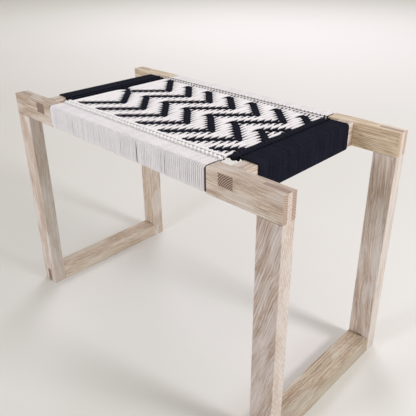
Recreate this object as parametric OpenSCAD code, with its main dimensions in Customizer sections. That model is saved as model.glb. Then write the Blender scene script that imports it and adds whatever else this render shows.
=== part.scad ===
// Woven-seat bench: an oak frame on two sled feet, with a seat of white and black cord.
// Units are millimetres. X runs along the bench, Y across it from front to back, Z up.
// The origin is on the floor, under the middle of the bench.

/* [Frame] */
// Length of the two long rails, which is the length of the bench
bench_l = 680; // [600:5:900]
// Width over the two long rails
bench_w = 332; // [280:2:420]
// Height of the bare rails' top face above the floor
bench_h = 450; // [380:5:520]
// Thickness of the rails, cross rails and legs
board_t = 27; // [24:1:32]
// Height of the long rails and cross rails
rail_h = 42; // [36:1:50]
// Width of a leg and of a runner, along X
leg_w = 42; // [36:1:50]
// Thickness of a runner
runner_t = 29; // [24:1:32]
// Length of rail beyond each cross rail
overhang = 83.5; // [70:0.5:110]
// Rounding of the boards' long edges
edge_r = 1.2; // [0.5:0.1:2]
// Depth of the recess that the wound cord lies in, on all four sides of a long rail
recess_d = 2.6; // [1.5:0.1:2.8]
// Rounding of a long rail's edges inside the recess
recess_r = 2.6; // [1.5:0.1:4]

/* [Joints] */
// Height of the cross rails' through tenons
tenon_h = 20; // [14:1:26]
// Rail left above those tenons
tenon_cover = 2; // [1:0.5:6]
// Spare depth of the leg's slot above the runner's tongue
slot_gap = 2; // [0.5:0.5:4]

/* [Seat cords] */
// Thickness of one layer of wound cord
cord_t = 3.4; // [3:0.1:4.4]
// Width of a pair of white cords lying side by side
white_pair_w = 8.36; // [7:0.02:10]
// Width of a pair of black cords lying side by side in the seat
black_pair_w = 8.2; // [7:0.05:10]
// Width of the same pair where it is wound round a cross rail
black_wound_w = 8.1; // [7:0.05:8.2]
// Distance that the cord on the cross rails is wound off centre, towards the back
black_shift = 2.9; // [0:0.1:4]
// Spare length of a long rail's recess beyond the wound cord
end_gap = 3.6; // [0:0.2:5]
// Distance between neighbouring twined rows
twine_pitch = 8.2; // [8:0.1:9]
// Width of a twined row
twine_w = 7.6; // [5:0.1:8]
// Distance from a wound long rail to the first twined row
twine_gap = 2.4; // [1:0.1:4]
// Distance from a wound cross rail to the first twined row
cross_gap = 1; // [0.5:0.1:2]
// Height that a twined row stands above and below the cords it binds
twine_h = 2.4; // [1.6:0.1:2.6]

/* [Hidden] */

oak = [0.78, 0.72, 0.64];
white_cord = [0.91, 0.89, 0.88];
black_cord = [0.10, 0.10, 0.13];

// Middle planes of the boards
rail_y = bench_w / 2 - board_t / 2;
rail_z = bench_h - rail_h / 2;
cross_x = bench_l / 2 - overhang - board_t / 2;
leg_x = bench_l / 2 - leg_w / 2;

// Corner bridle joints: the middle third of each leg passes up through its rail,
// and the middle third of each runner passes out through its leg
leg_tongue_t = board_t / 3;
runner_tongue_w = leg_w / 3;
shoulder_z = bench_h - rail_h;
cut = 1; // overrun that keeps a cut clear of the face it leaves by

// Section of a long rail inside its recess, and its width with its cord wound on.
// A cross rail has no recess, so its cord stands proud of it
core_t = board_t - 2 * recess_d;
core_h = rail_h - 2 * recess_d;
wound_t = core_t + 2 * cord_t;
cross_wound_t = board_t + 2 * cord_t;
wound_r = recess_r + cord_t;

// The seat's three levels: its top, the join of its white and black layers, its underside
seat_top = bench_h - recess_d + cord_t;
seat_mid = seat_top - cord_t;
seat_low = seat_mid - cord_t;

// Free spans between the wound rails, and the whole pairs of cord that fit in them
// beside two twined rows at each end
span_x = 2 * cross_x - cross_wound_t;
span_y = 2 * rail_y - wound_t;
cross_rows_w = 2 * (cross_gap + 2 * twine_pitch);
rows_w = 2 * (twine_gap + 2 * twine_pitch);
white_w = floor((span_x - cross_rows_w - 2 * end_gap) / white_pair_w) * white_pair_w;
black_pairs = floor((span_y - rows_w) / black_pair_w);
black_w = black_pairs * black_pair_w;

// The white cords stand close to the left shoulders of their recesses
play = 0.3;
white_recess = white_w + play + end_gap;
white_x = (play - end_gap) / 2;

// Outlines ------------------------------------------------------------------

// Rectangle about the origin with rounded corners
module soft_rect(w, h, r) {
    square([w - 2 * r, h], center = true);
    square([w, h - 2 * r], center = true);
    for (x = [-1, 1], y = [-1, 1])
        translate([x * (w / 2 - r), y * (h / 2 - r)])
            circle(r = r, $fn = 32);
}

// Section of the cord wound round a core of width w, height h and edge rounding r.
// The corner towards the seat is square, where the seat's cords run on to it;
// inner is +1 or -1, the side that it is on
module wrap_section(inner, w, h, r) {
    difference() {
        union() {
            soft_rect(w + 2 * cord_t, h + 2 * cord_t, wound_r);
            translate([inner * (w / 2 + cord_t - wound_r / 2), h / 2 + cord_t - wound_r / 2])
                square(wound_r, center = true);
        }
        soft_rect(w, h, r);
    }
}

// What is cut away round a long rail to leave its core
module recess_section() {
    difference() {
        square([board_t + cut, rail_h + cut], center = true);
        soft_rect(core_t, core_h, recess_r);
    }
}

// Stretch a section along X, then along Y, about the origin
module along_x(l) {
    rotate([90, 0, 90])
        linear_extrude(l, center = true)
            children();
}

module along_y(l) {
    rotate([90, 0, 180])
        linear_extrude(l, center = true)
            children();
}

// Wooden frame ---------------------------------------------------------------

// Long rail with an open slot at each end for a leg's tongue and two through mortises
module long_rail(y) {
    color(oak)
        translate([0, y, rail_z])
            difference() {
                along_x(bench_l)
                    soft_rect(board_t, rail_h, edge_r);
                along_x(white_recess)
                    recess_section();
                for (x = [-1, 1]) {
                    translate([x * (leg_x + cut / 2), 0, 0])
                        cube([leg_w + cut, leg_tongue_t, rail_h + cut], center = true);
                    translate([x * cross_x, 0, (rail_h - tenon_h) / 2 - tenon_cover])
                        cube([board_t, board_t + cut, tenon_h], center = true);
                }
            }
}

// Cross rail between the long rails, with a tenon through each of them
module cross_rail(x) {
    color(oak)
        translate([x, 0, rail_z]) {
            along_y(bench_w - 2 * board_t)
                soft_rect(board_t, rail_h, edge_r);
            for (side = [-1, 1])
                translate([0, side * rail_y, (rail_h - tenon_h) / 2 - tenon_cover])
                    cube([board_t, board_t, tenon_h], center = true);
        }
}

// Leg with a tongue on top and an open slot at the foot
module leg(x, y) {
    color(oak)
        translate([x, y, 0])
            difference() {
                union() {
                    linear_extrude(shoulder_z)
                        soft_rect(leg_w, board_t, edge_r);
                    translate([-leg_w / 2, -leg_tongue_t / 2, shoulder_z - cut])
                        cube([leg_w, leg_tongue_t, rail_h + cut]);
                }
                translate([-runner_tongue_w / 2, -(board_t + cut) / 2, -cut])
                    cube([runner_tongue_w, board_t + cut, runner_t + slot_gap + cut]);
            }
}

// Runner that lies on the floor between two legs, with a tongue through each of them
module runner(x) {
    color(oak)
        translate([x, 0, runner_t / 2]) {
            along_y(bench_w - 2 * board_t)
                soft_rect(leg_w, runner_t, edge_r);
            cube([runner_tongue_w, bench_w, runner_t], center = true);
        }
}

// Seat cords -----------------------------------------------------------------

// White cord wound round a long rail
module rail_wrap(side) {
    color(white_cord)
        translate([white_x, side * rail_y, rail_z])
            along_x(white_w)
                wrap_section(-side, core_t, core_h, recess_r);
}

// Black cord wound round a cross rail
module cross_wrap(side) {
    color(black_cord)
        translate([side * cross_x, black_shift, rail_z])
            along_y(black_pairs * black_wound_w)
                wrap_section(side, board_t, rail_h, edge_r);
}

// White cords that cross the seat from one long rail to the other
module white_seat() {
    color(white_cord)
        translate([white_x, 0, seat_mid + cord_t / 2])
            cube([white_w, span_y, cord_t], center = true);
}

// Black cords that run along the seat under the white ones, and rise at each end
// beside the cross rails
module black_seat() {
    color(black_cord) {
        translate([0, 0, seat_mid - cord_t / 2])
            cube([span_x, black_w, cord_t], center = true);
        for (side = [-1, 1]) {
            white_end = white_x + side * white_w / 2;
            wound_end = side * span_x / 2;
            translate([(white_end + wound_end) / 2, 0, (seat_top + seat_low) / 2])
                cube([abs(wound_end - white_end), black_w, seat_top - seat_low], center = true);
        }
    }
}

// One twined row: a band on top of the cords that it binds and a band under them
module twine_bands(w, l, low_z) {
    for (z = [low_z - twine_h / 2, seat_top + twine_h / 2])
        translate([0, 0, z])
            cube([w, l, twine_h], center = true);
}

// Distance of a twined row from the bench's middle; row 0 is next to the wound rail
function row_at(span, gap, row) = span / 2 - gap - (row + 0.5) * twine_pitch;

// Row that binds the white cords beside a long rail
module white_twine(side, row) {
    color(white_cord)
        translate([white_x, side * row_at(span_y, twine_gap, row), 0])
            twine_bands(white_w, twine_w, seat_mid);
}

// Row that binds the black cords beside a cross rail
module black_twine(side, row) {
    color(black_cord)
        translate([side * row_at(span_x, cross_gap, row), 0, 0])
            twine_bands(twine_w, black_w, seat_low);
}

long_rail(-rail_y);  // front_rail
long_rail(rail_y);  // back_rail
cross_rail(-cross_x);  // left_cross_rail
cross_rail(cross_x);  // right_cross_rail
leg(-leg_x, -rail_y);  // front_left_leg
leg(leg_x, -rail_y);  // front_right_leg
leg(-leg_x, rail_y);  // back_left_leg
leg(leg_x, rail_y);  // back_right_leg
runner(-leg_x);  // left_runner
runner(leg_x);  // right_runner
rail_wrap(-1);  // front_rail_wrap
rail_wrap(1);  // back_rail_wrap
cross_wrap(-1);  // left_cross_wrap
cross_wrap(1);  // right_cross_wrap
white_seat();  // white_seat_cords
black_seat();  // black_seat_cords
white_twine(-1, 0);  // front_outer_twine
white_twine(-1, 1);  // front_inner_twine
white_twine(1, 0);  // back_outer_twine
white_twine(1, 1);  // back_inner_twine
black_twine(-1, 0);  // left_outer_twine
black_twine(-1, 1);  // left_inner_twine
black_twine(1, 0);  // right_outer_twine
black_twine(1, 1);  // right_inner_twine
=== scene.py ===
"""Looks for the woven-seat bench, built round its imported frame.

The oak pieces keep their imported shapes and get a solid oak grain. The cords are laid
one by one in place of the plain solids that hold their room: white cords wound on the
long rails and stretched across the seat, black cords wound on the cross rails and
woven through them, and twined rows along all four edges.
Lengths of cord are in millimetres until a mesh is made. Materials, camera, lamps and
floor are in metres. X, Y and Z are the frame's own.
"""

import math

import bpy
import numpy as np
from mathutils import Matrix, Vector


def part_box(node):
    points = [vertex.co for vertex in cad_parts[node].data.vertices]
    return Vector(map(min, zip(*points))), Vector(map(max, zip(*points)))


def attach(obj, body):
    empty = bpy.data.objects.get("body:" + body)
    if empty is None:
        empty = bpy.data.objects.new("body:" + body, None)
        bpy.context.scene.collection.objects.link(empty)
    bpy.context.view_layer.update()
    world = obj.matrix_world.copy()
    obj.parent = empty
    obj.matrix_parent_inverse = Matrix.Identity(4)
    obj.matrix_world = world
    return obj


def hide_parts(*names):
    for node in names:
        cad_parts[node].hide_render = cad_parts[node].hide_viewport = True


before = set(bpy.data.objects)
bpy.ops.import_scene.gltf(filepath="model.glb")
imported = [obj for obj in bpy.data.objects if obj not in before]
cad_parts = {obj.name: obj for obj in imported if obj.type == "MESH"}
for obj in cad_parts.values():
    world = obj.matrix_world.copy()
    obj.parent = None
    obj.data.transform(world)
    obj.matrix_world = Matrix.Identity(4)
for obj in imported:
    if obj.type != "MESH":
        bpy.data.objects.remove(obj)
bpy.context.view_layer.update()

MM = 0.001


def box_mm(node):
    """Lowest and highest corner of a CAD node, in millimetres."""
    low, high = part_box(node)
    return np.array(low) / MM, np.array(high) / MM


def row_distance(node, axis):
    """How far a twined row's middle lies from the seat's middle, along an axis."""
    low, high = box_mm(node)
    return abs(low[axis] + high[axis]) / 2


# Sizes that the frame gives -------------------------------------------------------

WHITE_PAIRS = 49  # pairs of white cord across the seat, and on each long rail
BLACK_PAIRS = 29  # pairs of black cord along the seat, and on each cross rail

white_low, white_high = box_mm("white_seat_cords")
black_low, black_high = box_mm("black_seat_cords")
seat_top = white_high[2]
seat_mid = white_low[2]
cord_t = seat_top - seat_mid
cord_r = cord_t / 2
level = seat_top - cord_r  # height of a cord's middle where it lies on top
white_pitch = (white_high[0] - white_low[0]) / WHITE_PAIRS
black_pitch = (black_high[1] - black_low[1]) / BLACK_PAIRS
white_x = white_low[0] + white_pitch * (np.arange(WHITE_PAIRS) + 0.5)
black_y = black_low[1] + black_pitch * (np.arange(BLACK_PAIRS) + 0.5)
wound_low, wound_high = box_mm("right_cross_wrap")
wound_pitch = (wound_high[1] - wound_low[1]) / BLACK_PAIRS
wound_y = wound_low[1] + wound_pitch * (np.arange(BLACK_PAIRS) + 0.5)
wound_rise = wound_high[2] - seat_top  # the cross rails' cord lies this much higher
outer_row_y = row_distance("front_outer_twine", 1)
inner_row_y = row_distance("front_inner_twine", 1)
outer_row_x = row_distance("right_outer_twine", 0)
inner_row_x = row_distance("right_inner_twine", 0)
twine_low, twine_high = box_mm("front_inner_twine")
twine_half = (twine_high[1] - twine_low[1]) / 2

# The weave ------------------------------------------------------------------------

REPEAT = 7  # white pairs in one repeat of the pattern
FLOAT = 2  # white pairs that a black float passes over
FIRST = 2  # white pairs before the first chevron's tip
TIP_ROW = 15  # black pair whose first float starts at the edge


def chevron(row):
    """How far the pattern is shifted at a black pair: it rises and falls by one a row."""
    return REPEAT - abs(row % (2 * REPEAT) - REPEAT)


def black_is_over(column, row):
    """True where black pair row passes over white pair column."""
    place = column - FIRST - chevron(row)
    if row == TIP_ROW and column < FIRST:
        return True
    if row == BLACK_PAIRS - 1 and column >= REPEAT:
        return False
    return place >= 0 and place % REPEAT < FLOAT


over = np.array(
    [[black_is_over(i, j) for j in range(BLACK_PAIRS)] for i in range(WHITE_PAIRS)]
)


def float_at(column, row):
    """True where there is a black float; there is none beyond the seat's edges."""
    return 0 <= column < WHITE_PAIRS and 0 <= row < BLACK_PAIRS and over[column, row]


def is_tip(column, row):
    """True at the left end of a chevron's tip, where no float beside it crosses the same
    white pair."""
    beside = float_at(column, row - 1) or float_at(column, row + 1) or float_at(column - 1, row)
    return row > 1 and float_at(column, row) and not beside


# Cords as meshes ------------------------------------------------------------------

SIDES = 8  # points round a cord
PLY_START = 100  # a cord's plies start anywhere in this length
SHADE_TINT_DROP = 4.0  # how far a cord's tint falls where it gets its full painted shade
SHADE_TINT_SPAN = (-1.2, -4.0)  # tints where a cord's painted shade starts and where it is full
FILL = 0.96  # share of its room that a seat cord fills
HEIGHT_FILL = 0.99  # share of its height that a cord fills
rng = np.random.default_rng(7)


def smooth(t):
    """Eases from 0 to 1."""
    t = np.clip(t, 0, 1)
    return t * t * (3 - 2 * t)


def bell(t):
    """Rises from 0 to 1 and falls again about t = 0."""
    return np.exp(-(t**2))


def way_along(points):
    """Distance of each point along the line through the points."""
    steps = np.linalg.norm(np.diff(points, axis=0), axis=1)
    return np.concatenate([[0], np.cumsum(steps)])


def tube_rings(centre, half_w, half_h, side):
    """Rings of points about a line, with their width along side. A ring's outward face is
    a quarter turn on from side."""
    half_w = np.broadcast_to(half_w, len(centre))[:, None, None]
    half_h = np.broadcast_to(half_h, len(centre))[:, None, None]
    heading = np.gradient(centre, axis=0)
    heading /= np.linalg.norm(heading, axis=1)[:, None]
    side = np.broadcast_to(np.asarray(side, float), centre.shape)
    side = side - (side * heading).sum(1)[:, None] * heading
    side /= np.linalg.norm(side, axis=1)[:, None]
    rise = np.cross(heading, side)
    angle = 2 * math.pi * np.arange(SIDES) / SIDES
    across = half_w * np.cos(angle)[None, :, None] * side[:, None, :]
    outward = half_h * np.sin(angle)[None, :, None] * rise[:, None, :]
    return centre[:, None, :] + across + outward


class Cords:
    """Collects cords and makes one mesh of them."""

    def __init__(self):
        self.points, self.faces, self.around, self.along, self.tints = [], [], [], [], []
        self.count = 0

    def lay(self, centre, half_w, half_h, side, painted_shade=0.0):
        """Adds a closed tube about a line of points, with its width along side. hollow,
        from 0 to 1, is how much painted shade the cord gets."""
        n = len(centre)
        self.points.append(tube_rings(centre, half_w, half_h, side).reshape(-1, 3))
        i, j = np.meshgrid(np.arange(n - 1), np.arange(SIDES), indexing="ij")
        k = (j + 1) % SIDES
        here, beyond = i * SIDES, (i + 1) * SIDES
        quads = np.stack([here + j, here + k, beyond + k, beyond + j], -1).reshape(-1, 4)
        first = np.arange(SIDES)[::-1]
        last = (n - 1) * SIDES + np.arange(SIDES)
        self.faces += (quads + self.count).tolist()
        self.faces += [(first + self.count).tolist(), (last + self.count).tolist()]
        run = way_along(centre) + rng.uniform(0, PLY_START)
        u = np.stack([run[i], run[i], run[i + 1], run[i + 1]], -1)
        v = np.stack([j, j + 1, j + 1, j], -1) / SIDES
        self.along += [u.ravel(), np.zeros(2 * SIDES)]
        self.around += [v.ravel(), np.zeros(2 * SIDES)]
        # The tint falls far below the cord's own random tone where it gets painted shade
        tint = np.broadcast_to(rng.uniform(-1, 1) - SHADE_TINT_DROP * np.asarray(painted_shade), n)
        self.tints.append(np.repeat(tint, SIDES))
        self.count += n * SIDES

    def make(self, node, material):
        """Makes the piece that stands for a CAD node."""
        mesh = bpy.data.meshes.new(node + "_cords")
        mesh.from_pydata((np.concatenate(self.points) * MM).tolist(), [], self.faces)
        layer = mesh.uv_layers.new(name="Cord")
        uv = np.stack([np.concatenate(self.along), np.concatenate(self.around)], -1)
        layer.data.foreach_set("uv", uv.astype(np.float32).ravel())
        # The tint attribute holds each cord's random tone and its painted shade
        tint = mesh.attributes.new("tint", "FLOAT", "POINT")
        tint.data.foreach_set("value", np.concatenate(self.tints).astype(np.float32))
        mesh.polygons.foreach_set("use_smooth", np.ones(len(self.faces), bool))
        mesh.materials.append(material)
        mesh.update()
        piece = bpy.data.objects.new(node + "_cords", mesh)
        bpy.context.scene.collection.objects.link(piece)
        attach(piece, "root")
        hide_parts(node)
        return piece


# Woven cords ------------------------------------------------------------------------

CROSSING = np.array([0, 0.27, 0.42, 0.58, 0.73])  # points between two crossings, as shares
FLAT = np.array([0, 0.5])  # the same where the cord stays on one side
DIVE_FROM = 0.2  # share of the way to the next crossing at which a cord starts to dive
DIVE = 0.6  # share of the way that the dive takes
EASE_LENGTH = 11.0  # how far a float is bent on either side of a dive
PINCH_REACH = 6.5  # how far from the middle of two twined rows they draw a pair together
PINCH_EASE = 5.0  # length over which that fades
ROW_SQUEEZE = 0.2  # how much the twined rows draw a pair together
TALLER = (0.9, 1.08)  # least and most height of a cord in a pair, as a share of the usual


def woven_stations(centres, states, pitch, taper, ease):
    """Points along a cord between its first and last crossing, closer where it changes sides.

    Gives the points, the height there from -1 to 1, and how full the pair is: it tapers
    over the given length from 1 to 0 where it changes sides. ease is how much closer to 0
    the height stays beside a change of sides, on top and underneath.
    """
    points, lift = [], []
    for here, now, following in zip(centres[:-1], states[:-1], states[1:]):
        parts = FLAT if now == following else CROSSING
        points.append(here + pitch * parts)
        lift.append(now + (following - now) * smooth((parts - DIVE_FROM) / DIVE))
    points = np.concatenate(points + [centres[-1:]])
    lift = np.concatenate(lift + [states[-1:]])
    dives = centres[:-1][states[:-1] != states[1:]] + pitch / 2
    distance = np.abs(points[:, None] - dives).min(1, initial=taper)
    nearness = 1 - smooth(distance / EASE_LENGTH)
    eased = lift * (1 - np.where(lift > 0, ease[0], ease[1]) * nearness)
    return points, eased, np.minimum(distance / taper, 1)


def row_pinch(distance, outer, inner):
    """From 0 to 1, how firmly the twined rows hold a pair at a distance from the middle."""
    return smooth((PINCH_REACH - np.abs(distance - (outer + inner) / 2)) / PINCH_EASE)


def two_cords(cords, run, axis, middle, height, half, side, painted_shade=0.0):
    """Lays the two cords of a pair side by side. axis is the way that the pair runs. A
    cord that is pressed narrow grows a little taller."""
    taller = np.clip((white_pitch / 4 / (half / 2)) ** 0.5, *TALLER)
    for hand in (-1, 1):
        centre = np.zeros((len(run), 3))
        centre[:, axis] = run
        centre[:, 1 - axis] = middle + hand * half / 2
        centre[:, 2] = height
        cords.lay(centre, half / 2 * FILL, cord_r * taller * HEIGHT_FILL, side, painted_shade)


# White cords ------------------------------------------------------------------------

WHITE_EASE = (0.6, 0.0)  # how much it flattens beside a dive, on top and underneath
WHITE_SQUEEZE = 0.78  # how much a white pair narrows where it goes under
WHITE_TAPER = 16.0  # length over which a float narrows towards its ends
WHITE_PULL = 0.8  # how far a pair is drawn towards a black float that ends beside it
CLIMB_PULL = 3.1  # the same where the black floats climb to the right from row to row
TIP_PULL = 4.2  # how far a pair is drawn to the right in front of a chevron's tip
TIP_GAP = 2.0  # how far the pair at the left of a tip is drawn away from it
PAIR_FILL = 0.9  # share of its room that a pair fills
EDGE_POINTS = 22  # points from a wound rail to the first black pair
GROOVE = 0.9  # how far the pairs dip between a wound rail and the first twined row
GROOVE_PLACE = 4.6  # how far outside that row's middle the dip is deepest
GROOVE_HALF = 1.5  # half-width of the dip
SHADE = 0.8  # how much painted shade the white cords get at the seat's side of the back twined rows
SHADE_HALF = 1.3  # half-width of that painted shade
STRAY = 0.35  # spread of a pair's strays to either side
STRAY_POINTS = 9  # places along a pair where a stray is drawn
SWELL = 0.05  # share of its width by which a pair swells and shrinks
SWELL_POINTS = 12  # places along a pair where a swell is drawn


def pulled(column, y):
    """How far a white pair is drawn along X, towards the black floats that end beside it.
    It is drawn further where the floats climb to the right from row to row, and it opens a
    gap at the left of a chevron's tip."""
    reach = np.zeros(BLACK_PAIRS)
    for row in range(BLACK_PAIRS):
        if is_tip(column, row):
            reach[row - 1] += TIP_PULL
            reach[row - 2] += TIP_PULL / 3
        if is_tip(column + 1, row):
            reach[row - 1 : row + 1] -= TIP_GAP
            continue
        left, right = float_at(column - 1, row), float_at(column + 1, row)
        if float_at(column, row) or left == right:
            continue
        before, after = float_at(column, row - 1), float_at(column, row + 1)
        climbing = (before and right) or (after and left)
        reach[row] += (CLIMB_PULL if climbing else WHITE_PULL) * (1 if right else -1)
    nearness = smooth(1 - np.abs(y[:, None] - black_y) / black_pitch)
    return nearness @ reach


def white_pair(column):
    """Y, height and half-width along a white pair, over the seat between the long rails."""
    states = np.where(over[column], -1.0, 1.0)
    centres = np.concatenate([[black_y[0] - black_pitch], black_y, [black_y[-1] + black_pitch]])
    states = np.concatenate([[1.0], states, [1.0]])
    y, lift, full = woven_stations(centres, states, black_pitch, WHITE_TAPER, WHITE_EASE)
    full = np.where(lift > 0, full, 0)
    edge = np.linspace(white_low[1], y[0], EDGE_POINTS)[:-1]
    y = np.concatenate([edge, y, -edge[::-1]])
    flat = np.ones(len(edge))
    lift = np.concatenate([flat, lift, flat])
    full = np.concatenate([flat, full, flat])
    half = white_pitch / 2 * PAIR_FILL * (1 - WHITE_SQUEEZE * (1 - full))
    half *= 1 - ROW_SQUEEZE * row_pinch(np.abs(y), outer_row_y, inner_row_y)
    dip = GROOVE * bell((np.abs(y) - outer_row_y - GROOVE_PLACE) / GROOVE_HALF)
    return y, seat_mid + cord_r * lift - dip, half


def white_seat(material):
    """The white cords across the seat, each pair with its own small strays, and with painted
    shade in front of the back inner twined row.
    """
    cords = Cords()
    for column in range(WHITE_PAIRS):
        y, height, half = white_pair(column)
        stray = rng.normal(0, STRAY, STRAY_POINTS)
        swell = rng.normal(0, SWELL, SWELL_POINTS)
        middle = white_x[column] + np.interp(y, np.linspace(y[0], y[-1], STRAY_POINTS), stray)
        middle += pulled(column, y)
        half *= 1 + np.interp(y, np.linspace(y[0], y[-1], SWELL_POINTS), swell)
        # Painted shade just in front of the back inner twined row
        painted_shade = SHADE * bell((y - inner_row_y + twine_half) / SHADE_HALF)
        two_cords(cords, y, 1, middle, height, half, (-1, 0, 0), painted_shade)
    cords.make("white_seat_cords", material)


# Black cords ------------------------------------------------------------------------

BLACK_EASE = (0.0, 1.3)  # how much it flattens beside a dive, on top and underneath
BLACK_CROWN = 1.5  # how much higher a black float rises than a cord lying flat
BLACK_SQUEEZE = 0.4  # how much a black pair narrows where it changes sides
BLACK_TAPER = 5.0  # length over which it narrows
END_POINTS = 10  # points from a cross rail to the first white pair
CLIMB_FROM = 213  # distance from the seat's middle where the climb to a cross rail starts


def end_climb(distance):
    """From 0 to 1, how far the black cords have climbed to the cord on the cross rails."""
    return smooth((distance - CLIMB_FROM) / (black_high[0] - CLIMB_FROM))


def black_pair(row):
    """X, Y, height and half-width along a black pair, from one cross rail to the other."""
    states = np.where(over[:, row], 1.0, -1.0)
    centres = np.concatenate([[white_x[0] - white_pitch], white_x, [white_x[-1] + white_pitch]])
    states = np.concatenate([[1.0], states, [1.0]])
    x, lift, full = woven_stations(centres, states, white_pitch, BLACK_TAPER, BLACK_EASE)
    left = np.linspace(black_low[0], x[0], END_POINTS)[:-1]
    right = np.linspace(x[-1], black_high[0], END_POINTS)[1:]
    crown = np.where(lift > 0, 1 + (BLACK_CROWN - 1) * lift, 1)
    lift = np.concatenate([np.ones(len(left)), lift * crown, np.ones(len(right))])
    lift[len(left)] = lift[-len(right) - 1] = 1
    full = np.concatenate([np.ones(len(left)), full, np.ones(len(right))])
    x = np.concatenate([left, x, right])
    half = black_pitch / 2 * (1 - BLACK_SQUEEZE * (1 - full))
    half *= 1 - ROW_SQUEEZE * row_pinch(np.abs(x), outer_row_x, inner_row_x)
    climb = end_climb(np.abs(x))
    y = black_y[row] + (wound_y[row] - black_y[row]) * climb
    half += (wound_pitch - black_pitch) / 2 * climb
    return x, y, seat_mid + cord_r * lift + wound_rise * climb, half


def black_seat(material):
    """The black cords along the seat."""
    cords = Cords()
    for row in range(BLACK_PAIRS):
        x, y, height, half = black_pair(row)
        two_cords(cords, x, 0, y, height, half, (0, 1, 0))
    cords.make("black_seat_cords", material)


# Wound cords ------------------------------------------------------------------------

# Share of its room that a wound cord fills, and how far neighbouring pairs may stand
# apart on the outer face
WHITE_WOUND = (0.86, 0.8)
BLACK_WOUND = (1.0, 0.0)
# Wider gaps on a rail's outer face, each after so many pairs
FRONT_GAPS = {2: 1.0, 9: 1.1, 19: 0.8, 31: 2.0}
BACK_GAPS = {14: 0.8, 38: 0.7}
GAP_MEAN = 0.05  # mean of all other gaps, before they are kept above 0 and below the most
GAP_SPREAD = 0.6  # their spread
BEND_R = 6.0  # outer radius of wound cord over a rail's edge
TOP_POINTS = 8  # points of a wound cord along the rail's top
BEND_POINTS = 6  # points round each of its bends
HELD_ON_TOP = 20.0  # a wound cord lies straight beside the seat, and strays fully from here on
HELD_BELOW = 10.0  # the same at its end, inside the rail
WOBBLE = 0.2  # spread of one cord's own strays
WOBBLE_POINTS = 7  # places along a cord where one is drawn
DRIFT = 0.5  # how far neighbouring cords stray together
DRIFT_CORDS = 13  # how many of them do so


def wound_line(low, high, inner):
    """Line of a cord wound round a rail, as (across, height) from the seat outwards, and
    the distance of each point along it.

    inner is the side of the rail that the seat is on, +1 or -1. Across is measured from
    the middle of the rail. Each straight stretch has its length and its number of points.
    """
    half = (high - low) / 2
    across, up = half[0] - cord_r, half[1] - cord_r
    r = BEND_R - cord_r
    points = [(half[0] - t * (half[0] + across - r), up) for t in np.linspace(0, 1, TOP_POINTS)[:-1]]
    corners = [(-across + r, up - r, 90), (-across + r, -up + r, 180), (across - r, -up + r, 270)]
    straights = [(2 * (up - r), 12), (2 * (across - r), 6), (2 * up - r - cord_r, 9)]
    heading = [(0, -1), (1, 0), (0, 1)]
    for (x, z, start), (length, steps), (dx, dz) in zip(corners, straights, heading):
        for a in np.radians(start + 90 * np.linspace(0, 1, BEND_POINTS)):
            points.append((x + r * math.cos(a), z + r * math.sin(a)))
        x, z = points[-1]
        points += [(x + dx * t, z + dz * t) for t in np.linspace(0, length, steps)[1:]]
    points = np.array(points)
    way = way_along(points)
    points[:, 0] *= inner
    return points, way


def wound_edges(start, count, pitch, way):
    """Where the cords of count pairs meet, at each distance along them."""
    edges = start + pitch / 2 * np.arange(2 * count + 1)[:, None] + np.zeros(len(way))
    strays = smooth(way / HELD_ON_TOP) * smooth((way[-1] - way) / HELD_BELOW)
    stations = np.linspace(0, way[-1], WOBBLE_POINTS)
    weights = np.hanning(DRIFT_CORDS + 2)[1:-1] / (DRIFT_CORDS / 2)
    drift = np.convolve(rng.normal(0, 1, 2 * count + DRIFT_CORDS), weights, "valid")
    for k in range(1, 2 * count):
        wobble = rng.normal(0, WOBBLE, WOBBLE_POINTS)
        edges[k] += strays * (np.interp(way, stations, wobble) + DRIFT * drift[k])
    return edges


def wound(node, count, pitch, axis, inner, material, slot, fill, loose, gaps):
    """Lays count pairs of cords round a rail. axis is the way that the rail runs, inner
    the side of it that the seat is on, fill the share of its room that a cord fills, loose
    how far neighbouring pairs may stand apart on the outer face, and gaps the places,
    counted in pairs, where they stand further apart."""
    low, high = box_mm(node)
    across = 1 - axis
    line, way = wound_line(low[[across, 2]], high[[across, 2]], inner)
    middle = (low + high) / 2
    width, height = high[across] - low[across], high[2] - low[2]
    edges = wound_edges(low[axis], count, pitch, way)
    # Full on the middle half of the outer face, and gone past its edges
    on_face = smooth(1.6 - 2.6 * np.abs(way - width - height / 2) / height)
    room = np.zeros((2 * count + 1, len(way)))
    for k in range(2, 2 * count, 2):
        most = loose * (0.5 + 0.5 * k / count)  # half of loose at the left, 1.5 times at the right
        room[k] = on_face * np.clip(rng.normal(GAP_MEAN, GAP_SPREAD), 0, most)
    for pair, gap in gaps.items():
        room[2 * pair] = on_face * gap
    cords = Cords()
    side = np.eye(3)[axis] * (inner if axis == 0 else -inner)
    for k in range(2 * count):
        left = edges[k] + room[k] / 2
        right = edges[k + 1] - room[k + 1] / 2
        centre = np.zeros((len(way), 3))
        centre[:, axis] = (left + right) / 2
        centre[:, across] = middle[across] + line[:, 0]
        centre[:, 2] = middle[2] + line[:, 1]
        cords.lay(centre, (right - left) / 2 * fill, cord_r * HEIGHT_FILL, side)
    cords.make(node, material)


# Twined rows ------------------------------------------------------------------------

STRAND_H = 1.8  # half-height of a strand
STRAND_POINTS = 7  # points of a strand from one pair to the next
ROW_PAST = 0.62  # how far a row runs past the last pair's middle, in pitches
FLATTEN = 0.12  # how much flatter a strand lies on top and underneath than a wave does
DOT_RISE = 0.82  # share of its rise below which a strand may get painted shade
DOT_EASE = 0.3  # how softly that painted shade starts
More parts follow.
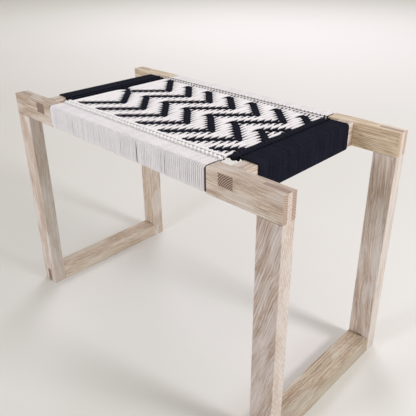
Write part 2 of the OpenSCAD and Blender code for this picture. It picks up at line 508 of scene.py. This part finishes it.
# Half-width of a strand, its sway across the row, its rise, how much painted shade it gets
# between the pairs of cord, and how far across the row that painted shade reaches
FRONT_ROW = (2.9, 1.2, 2.9, 0.3, 0.2)
BACK_OUTER = (1.9, 1.5, 3.2, 4.2, 1.4)
BACK_INNER = (1.9, 1.5, 1.5, 0.8, 2.0)
BLACK_ROW = (2.3, 1.6, 2.9, 0, 0)
# Side, way of the twist, and the outer and the inner row's build
WHITE_ROWS = (("front", 1, FRONT_ROW, FRONT_ROW), ("back", -1, BACK_OUTER, BACK_INNER))


def twined_row(node, axis, hand, material, build):
    """Two strands that swap sides between the pairs of cord that they bind. hand is the
    way that they twist, and build a row's five values as listed above."""
    half_w, sway, height, shade_strength, spread = build
    centres, pitch = (white_x, white_pitch) if axis == 0 else (black_y, black_pitch)
    low, high = box_mm(node)
    across = 1 - axis
    row = (low[across] + high[across]) / 2
    middle = level + (wound_rise * end_climb(abs(row)) if axis == 1 else 0)
    past = pitch * ROW_PAST
    run = np.arange(centres[0] - past, centres[-1] + past, pitch / STRAND_POINTS)
    towards_other_row = -np.sign(row) if "outer" in node else np.sign(row)
    side = np.zeros(3)
    side[across] = 1 if axis == 0 else -1
    cords = Cords()
    for strand in (0, 1):
        phase = math.pi * ((run - centres[0]) / pitch + strand)
        rise = (np.cos(phase) - FLATTEN * np.cos(3 * phase)) / (1 - FLATTEN)
        centre = np.zeros((len(run), 3))
        centre[:, axis] = run
        centre[:, across] = row - hand * sway * np.sin(phase)
        centre[:, 2] = middle + height * rise
        lean = (centre[:, across] - row) / sway * towards_other_row
        # Painted shade: dark dots where a strand dives between two pairs
        painted_shade = shade_strength * smooth((DOT_RISE - np.abs(rise)) / DOT_EASE) * smooth(spread + lean)
        cords.lay(centre, half_w, STRAND_H, side, painted_shade)
    cords.make(node, material)


# Materials --------------------------------------------------------------------------


class Shader:
    """A material's nodes, with short ways to add and wire them."""

    def __init__(self, name):
        self.material = bpy.data.materials.new(name)
        self.material.use_nodes = True
        self.tree = self.material.node_tree
        self.surface = self.tree.nodes["Principled BSDF"]

    def put(self, socket, value):
        if isinstance(value, bpy.types.NodeSocket):
            self.tree.links.new(value, socket)
        else:
            socket.default_value = value

    def node(self, kind, inputs, **settings):
        made = self.tree.nodes.new("ShaderNode" + kind)
        for name, value in settings.items():
            setattr(made, name, value)
        for key, value in inputs.items():
            self.put(made.inputs[key], value)
        return made

    def math(self, operation, *values):
        return self.node("Math", dict(enumerate(values)), operation=operation).outputs[0]

    def noise(self, vector, scale, detail=2.0, roughness=0.5):
        inputs = {"Vector": vector, "Scale": scale, "Detail": detail, "Roughness": roughness}
        return self.node("TexNoise", inputs).outputs[0]

    def span(self, value, low, high, new_low=0.0, new_high=1.0):
        """Maps low..high to new_low..new_high, smoothly and clamped."""
        inputs = {0: value, 1: low, 2: high, 3: new_low, 4: new_high}
        return self.node("MapRange", inputs, interpolation_type="SMOOTHSTEP").outputs[0]

    def blend(self, factor, first, second, kind="MIX"):
        made = self.node("Mix", {0: factor}, data_type="RGBA", blend_type=kind)
        self.put(made.inputs[6], first)
        self.put(made.inputs[7], second)
        return made.outputs[2]

    def place(self, kind):
        """Object place or normal of a surface, as "Object" or "Normal"."""
        return self.node("TexCoord", {}).outputs[kind]

    def parts(self, vector):
        return self.node("SeparateXYZ", {0: vector}).outputs

    def combine(self, x, y, z):
        return self.node("CombineXYZ", {0: x, 1: y, 2: z}).outputs[0]

    def bump(self, height, distance, strength=1.0):
        inputs = {"Height": height, "Distance": distance, "Strength": strength}
        self.put(self.surface.inputs["Normal"], self.node("Bump", inputs).outputs[0])


def colour(r, g, b):
    """Linear colour of an sRGB one given from 0 to 255."""
    shares = [c / 255 for c in (r, g, b)]
    linear = [c / 12.92 if c < 0.0405 else ((c + 0.055) / 1.055) ** 2.4 for c in shares]
    return (*linear, 1.0)


def grey(share):
    """Colour that darkens evenly when it is multiplied in, or lightens from 1 up."""
    return (share, share, share, 1)


OAK_LIGHT = colour(227, 213, 199)
OAK_TAN = colour(182, 156, 136)
OAK_DARK = colour(136, 108, 90)
OAK_LIME = colour(231, 225, 219)
OAK_END = colour(180, 156, 140)
OAK_END_RING = colour(60, 38, 30)
OAK_CALM = colour(212, 196, 180)
OAK_RECESS_SHADE = colour(96, 68, 50)
RING = 0.0029  # width of a year's ring
TREE_STEP = 1.37  # how far along one endless tree each board is cut
RECESS_EDGE = (0.2071, 0.2065)  # where the painted shade in the recess starts and where it is full
TENON_RINGS = 1.0  # how dark the rings are on the cross rails' and the runners' ends
OTHER_RINGS = 0.35  # and on all other ends


def oak(name, seed, run, pith, slope, tint, crown, calm, x_face_shade):
    """Limed oak as a solid grain. run is the axis along the grain, pith the place of the
    tree's middle across it, and slope how far the grain leans along the board. tint is the
    board's own colour, partly with painted light and shade for how brightly it is lit. crown
    is painted shade on its top, turning to painted light above 1, calm how even its X faces
    are and flank how much painted shade darkens these."""
    s = Shader(name)
    parts = s.parts(s.place("Object"))
    across, deep = parts[(run + 1) % 3], parts[(run + 2) % 3]
    along = s.math("ADD", parts[run], seed * TREE_STEP)

    def stretched(along_scale, across_scale, a=across, b=deep):
        return s.combine(
            s.math("MULTIPLY", along, along_scale),
            s.math("MULTIPLY", a, across_scale),
            s.math("MULTIPLY", b, across_scale),
        )

    # Distance from the pith, which wanders, gives the rings
    wander = s.math("SUBTRACT", s.noise(stretched(9.0, 22.0), 1.0, 3.0), 0.5)
    a = s.math("ADD", s.math("ADD", across, pith[0]), s.math("MULTIPLY", parts[run], slope))
    a = s.math("ADD", a, s.math("MULTIPLY", wander, 0.016))
    b = s.math("ADD", s.math("ADD", deep, pith[1]), s.math("MULTIPLY", wander, 0.01))
    reach = s.math("SQRT", s.math("ADD", s.math("MULTIPLY", a, a), s.math("MULTIPLY", b, b)))
    ring = s.math("FRACT", s.math("DIVIDE", reach, RING))
    early = s.span(s.math("ABSOLUTE", s.math("SUBTRACT", ring, 0.5)), 0.2, 0.5)

    # Streaks, flecks, rings, limed patches and limed pores along the grain
    streak = s.noise(stretched(7.0, 400.0, a, b), 1.0, 4.0, 0.7)
    fleck = s.noise(stretched(22.0, 800.0, a, b), 1.0, 2.0, 0.6)
    fibre = s.noise(stretched(90.0, 1600.0, a, b), 1.0, 2.0, 0.7)
    patch = s.noise(stretched(12.0, 45.0, a, b), 1.0, 3.0)
    faint = s.noise(stretched(16.0, 90.0), 1.0, 2.0)
    rings = s.math("MULTIPLY", early, s.span(faint, 0.35, 0.6))
    pores = s.math("MULTIPLY", s.span(fibre, 0.52, 0.66), s.span(early, 0.0, 0.8))
    tone = s.blend(s.span(streak, 0.33, 0.68), OAK_LIGHT, OAK_TAN)
    tone = s.blend(s.math("MULTIPLY", s.span(fleck, 0.48, 0.74), 0.55), tone, OAK_DARK)
    tone = s.blend(s.math("MULTIPLY", rings, 0.6), tone, OAK_DARK)
    tone = s.blend(s.math("MULTIPLY", s.span(patch, 0.44, 0.62), 0.45), tone, OAK_LIME)
    tone = s.blend(s.math("MULTIPLY", pores, 0.5), tone, OAK_LIME)

    # X faces with their painted shade, end grain, the top with its painted shade, painted shade
    # in the recess under the wound cord, and the board's colour with some painted light and shade
    normal = s.parts(s.place("Normal"))
    sideways = s.span(s.math("ABSOLUTE", normal[0]), 0.5, 0.9)
    tone = s.blend(s.math("MULTIPLY", sideways, calm), tone, OAK_CALM)
    # Painted shade on the X faces, by flank
    tone = s.blend(sideways, tone, s.blend(1.0, tone, grey(x_face_shade), "MULTIPLY"))
    end = s.span(s.math("ABSOLUTE", normal[run]), 0.7, 0.95)
    darkest = TENON_RINGS if run == 1 else OTHER_RINGS
    arcs = s.math("MULTIPLY", s.span(early, 0.05, 0.65), darkest)
    tone = s.blend(end, tone, s.blend(arcs, OAK_END, OAK_END_RING))
    # Painted shade on the top by crown, turning to painted light above 1
    top = s.span(normal[2], 0.5, 0.9)
    tone = s.blend(top, tone, s.blend(1.0, tone, grey(crown), "MULTIPLY"))
    # Painted shade on the recess's wood beside the wound cords' end
    if run == 0:
        recess_shade = s.span(s.math("ABSOLUTE", parts[0]), *RECESS_EDGE)
        tone = s.blend(recess_shade, tone, OAK_RECESS_SHADE)
    # The board's colour, partly painted light and shade for how brightly it is lit
    tone = s.blend(1.0, tone, (*tint, 1), "MULTIPLY")
    s.put(s.surface.inputs["Base Color"], tone)
    s.put(s.surface.inputs["Roughness"], s.span(streak, 0.3, 0.7, 0.62, 0.78))
    s.surface.inputs["Specular IOR Level"].default_value = 0.35
    relief = s.math("SUBTRACT", s.math("MULTIPLY", fleck, -0.5), s.math("MULTIPLY", pores, 0.6))
    s.bump(relief, 0.0004, 0.7)
    return s.material


PLIES = 3.0  # plies in a cord
PLY_TWIST = 0.22  # plies that pass in a millimetre along the cord
CREASE_DEPTH = 0.7  # share of a cord's half-height over which it turns to the painted crease shade


def cotton(name, pale, deep, crease, turn, gloss, crown=1.0):
    """Soft twisted cotton cord, with its plies along the cord's own turns. It has the crease
    colour, a painted shade, where it lies against its neighbours, from the height turn down:
    1 is a cord's top and 0 its sides, and also where its tint carries painted shade. gloss is
    its specular level, and crown how much painted shade darkens the faces that look up."""
    s = Shader(name)
    run, turns = s.parts(s.node("UVMap", {}, uv_map="Cord").outputs[0])[:2]
    tint = s.node("Attribute", {}, attribute_name="tint").outputs["Fac"]
    twist = s.math("ADD", s.math("MULTIPLY", turns, PLIES), s.math("MULTIPLY", run, PLY_TWIST))
    ply = s.math("SINE", s.math("MULTIPLY", twist, 2 * math.pi))
    place = s.place("Object")
    fuzz = s.noise(place, 900.0, 3.0, 0.7)
    patch = s.noise(place, 60.0, 2.0)
    shade = s.math("ADD", s.math("MULTIPLY", tint, 0.25), s.math("MULTIPLY", ply, 0.22))
    shade = s.math("ADD", shade, s.math("MULTIPLY", s.math("SUBTRACT", fuzz, 0.5), 1.2))
    shade = s.math("ADD", shade, s.math("MULTIPLY", s.math("SUBTRACT", patch, 0.5), 1.0))
    tone = s.blend(s.span(shade, -0.8, 0.8), deep, pale)
    # Painted crease shade on the cord's sides, where it lies against its neighbours
    outward = s.math("SINE", s.math("MULTIPLY", turns, 2 * math.pi))
    pressed = s.span(outward, turn, turn - CREASE_DEPTH)
    # Painted shade where the tint has fallen, in the crease colour
    painted_shade = s.span(tint, *SHADE_TINT_SPAN)
    tone = s.blend(s.math("MAXIMUM", pressed, painted_shade), tone, crease)
    # Painted shade on the faces that look up, darker by crown
    if crown < 1:
        upward = s.parts(s.place("Normal"))[2]
        painted_top_shade = s.blend(1.0, tone, (crown, crown * 0.98, crown * 0.98, 1), "MULTIPLY")
        tone = s.blend(s.span(upward, 0.4, 0.8), tone, painted_top_shade)
    s.put(s.surface.inputs["Base Color"], tone)
    s.put(s.surface.inputs["Roughness"], s.span(fuzz, 0.3, 0.7, 0.85, 0.98))
    s.surface.inputs["Specular IOR Level"].default_value = gloss
    s.bump(s.math("ADD", s.math("MULTIPLY", ply, 0.5), fuzz), 0.0004, 0.8)
    return s.material


def floor_material():
    """Pale floor with a faint mottle, and painted light that makes it lighter towards the back."""
    s = Shader("pale_floor")
    place = s.place("Object")
    patch = s.math("MULTIPLY", s.noise(place, 1.4, 4.0), 0.25)
    # Painted light: the floor grows lighter towards the back
    back = s.math("MULTIPLY", s.span(s.parts(place)[1], -0.8, 2.6), 0.85)
    mottle_and_painted_light = s.math("ADD", patch, back)
    tone = s.blend(mottle_and_painted_light, colour(220, 215, 210), colour(238, 234, 231))
    s.put(s.surface.inputs["Base Color"], tone)
    s.surface.inputs["Roughness"].default_value = 0.7
    s.surface.inputs["Specular IOR Level"].default_value = 0.25
    return s.material


# Oak pieces, one board each: axis of the grain, pith's place across it, lean of the
# grain, colour of the board, partly painted light and shade for how it is lit, painted
# shade on its top (painted light above 1), evenness of its X faces and painted shade on them
BOARDS = {
    "front_rail": (0, (0.2125, -0.339), 0.03, (1.03, 1.0, 0.98), 0.79, 0, 1),
    "back_rail": (0, (-0.1025, -0.329), -0.02, (1.22, 1.17, 1.03), 0.82, 0, 1),
    "left_cross_rail": (1, (-0.409, 0.27), 0.02, (1.0, 0.97, 0.97), 0.85, 0, 1),
    "right_cross_rail": (1, (-0.41, -0.27), 0.02, (1.0, 0.97, 0.97), 0.85, 0, 1),
    "front_left_leg": (2, (0.419, 0.0725), 0.04, (1.2, 1.2, 1.26), 0.82, 0.4, 0.78),
    "front_right_leg": (2, (-0.139, 0.0725), -0.3, (0.97, 0.95, 1.0), 0.85, 0.45, 0.97),
    "back_left_leg": (2, (0.419, -0.0725), -0.03, (1.28, 1.26, 1.26), 0.85, 0, 0.7),
    "back_right_leg": (2, (-0.219, -0.0725), 0.04, (1.12, 1.12, 1.18), 0.85, 0.45, 0.83),
    "left_runner": (1, (0.045, 0.389), 0.04, (1.04, 1.0, 0.96), 0.94, 0.2, 0.96),
    "right_runner": (1, (0.045, -0.249), -0.05, (0.76, 0.73, 0.66), 1.03, 0.2, 0.93),
}


def dress_boards():
    """Gives each oak piece a grain of its own."""
    for seed, (node, cut) in enumerate(BOARDS.items()):
        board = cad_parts[node]
        board.data.materials.clear()
        board.data.materials.append(oak("oak_" + node, seed, *cut))


# Camera, light and floor ------------------------------------------------------------

CAMERA_AZIMUTH = 43.97
CAMERA_ELEVATION = 25.13
CAMERA_ROLL = -0.19
CAMERA_DISTANCE = 0.9541
CAMERA_AIM = (0.065, 0.0, 0.3239)
CAMERA_LENS = 44.52
CAMERA_SHIFT = (-0.018, -0.0625)
# Place, aim, width, power and colour of each lamp
LAMPS = {
    "window": ((1.9, 0.42, 1.55), (0, 0, 0.2), 0.55, 21.5, (0.98, 0.93, 0.98)),
    "front_lamp": ((-0.12, -1.3, 0.9), (0, 0, 0.2), 0.35, 5.8, (0.84, 0.87, 1.0)),
    "low_fill": ((2.5, 0.45, 1.0), (0.3, 0, 0.25), 0.6, 15, (0.68, 0.91, 1.0)),
    "backdrop_wash": ((-2.6, 3.2, 4.0), (-2.2, 3.0, 0), 2.5, 112, (0.9, 0.88, 1.0)),
    "side_wash": ((-0.2, 4.2, 3.6), (-0.2, 3.2, 0), 2.5, 21, (0.85, 0.8, 1.0)),
}
ROOM_LIGHT = 0.49
ROOM_TINT = (1.0, 1.0, 0.86, 1)
FLOOR_HALF = 30.0
FLOOR_DROP = 0.0002  # keeps the floor a hair below the runners


def direction(azimuth, elevation):
    """Unit vector towards an azimuth, measured as the views are, and an elevation."""
    a, e = math.radians(azimuth), math.radians(elevation)
    return Vector((math.sin(a) * math.cos(e), -math.cos(a) * math.cos(e), math.sin(e)))


def add_camera():
    camera = bpy.data.objects.new("camera", bpy.data.cameras.new("camera"))
    bpy.context.scene.collection.objects.link(camera)
    back = direction(CAMERA_AZIMUTH, CAMERA_ELEVATION)
    camera.location = Vector(CAMERA_AIM) + back * CAMERA_DISTANCE
    turn = back.to_track_quat("Z", "Y").to_matrix()
    roll = Matrix.Rotation(math.radians(CAMERA_ROLL), 3, "Z")
    camera.rotation_euler = (turn @ roll).to_euler()
    camera.data.lens = CAMERA_LENS
    camera.data.shift_x, camera.data.shift_y = CAMERA_SHIFT
    camera.data.clip_end = 100
    bpy.context.scene.camera = camera


def add_light(name, place, aim, size, power, tint):
    light = bpy.data.lights.new(name, "AREA")
    light.shape = "DISK"
    light.size = size
    light.energy = power
    light.color = tint
    lamp = bpy.data.objects.new(name, light)
    bpy.context.scene.collection.objects.link(lamp)
    lamp.location = place
    lamp.rotation_euler = (Vector(place) - Vector(aim)).to_track_quat("Z", "Y").to_euler()


def add_world():
    world = bpy.data.worlds.new("soft_room")
    world.use_nodes = True
    background = world.node_tree.nodes["Background"]
    background.inputs[0].default_value = ROOM_TINT
    background.inputs[1].default_value = ROOM_LIGHT
    bpy.context.scene.world = world


def add_floor():
    mesh = bpy.data.meshes.new("floor")
    signs = ((-1, -1), (1, -1), (1, 1), (-1, 1))
    corners = [(x * FLOOR_HALF, y * FLOOR_HALF, -FLOOR_DROP) for x, y in signs]
    mesh.from_pydata(corners, [], [(0, 1, 2, 3)])
    mesh.materials.append(floor_material())
    floor = bpy.data.objects.new("floor", mesh)
    bpy.context.scene.collection.objects.link(floor)


add_camera()
add_floor()
for lamp_name, lamp_values in LAMPS.items():
    add_light(lamp_name, *lamp_values)
add_world()
bpy.context.scene.view_settings.view_transform = "Standard"

# Pieces -------------------------------------------------------------------------------

# The third colour of each cotton is its crease colour, a painted shade
white = cotton(
    "white_cotton", colour(247, 242, 243), colour(234, 227, 230), colour(146, 135, 134), 0.65, 0.2
)
# The wound cord is a lighter copy of the white cotton: painted light on its lit faces, painted shade
# on the faces that look up, and a darker painted crease shade
wound_white = cotton(
    "wound_cotton", colour(255, 251, 252), colour(233, 227, 231), colour(78, 68, 70), 0.4, 0.2, 0.82
)
twine = cotton(
    "white_twine", colour(247, 243, 243), colour(235, 229, 230), colour(72, 62, 60), -0.1, 0.2
)
black = cotton("black_cotton", colour(35, 35, 49), colour(20, 20, 32), colour(5, 5, 9), 0.6, 0.1)

dress_boards()
for rail, seat_side, gaps in (("front", 1, FRONT_GAPS), ("back", -1, BACK_GAPS)):
    place = (rail + "_rail_wrap", WHITE_PAIRS, white_pitch, 0, seat_side)
    wound(*place, wound_white, "white_cord", *WHITE_WOUND, gaps)
for rail, seat_side in (("left", 1), ("right", -1)):
    place = (rail + "_cross_wrap", BLACK_PAIRS, wound_pitch, 1, seat_side)
    wound(*place, black, "black_cord", *BLACK_WOUND, {})
white_seat(white)
black_seat(black)
for side, hand, outer, inner in WHITE_ROWS:
    twined_row(side + "_outer_twine", 0, hand, twine, outer)
    twined_row(side + "_inner_twine", 0, -hand, twine, inner)
for side, hand in (("left", 1), ("right", -1)):
    twined_row(side + "_outer_twine", 1, hand, black, BLACK_ROW)
    twined_row(side + "_inner_twine", 1, -hand, black, BLACK_ROW)
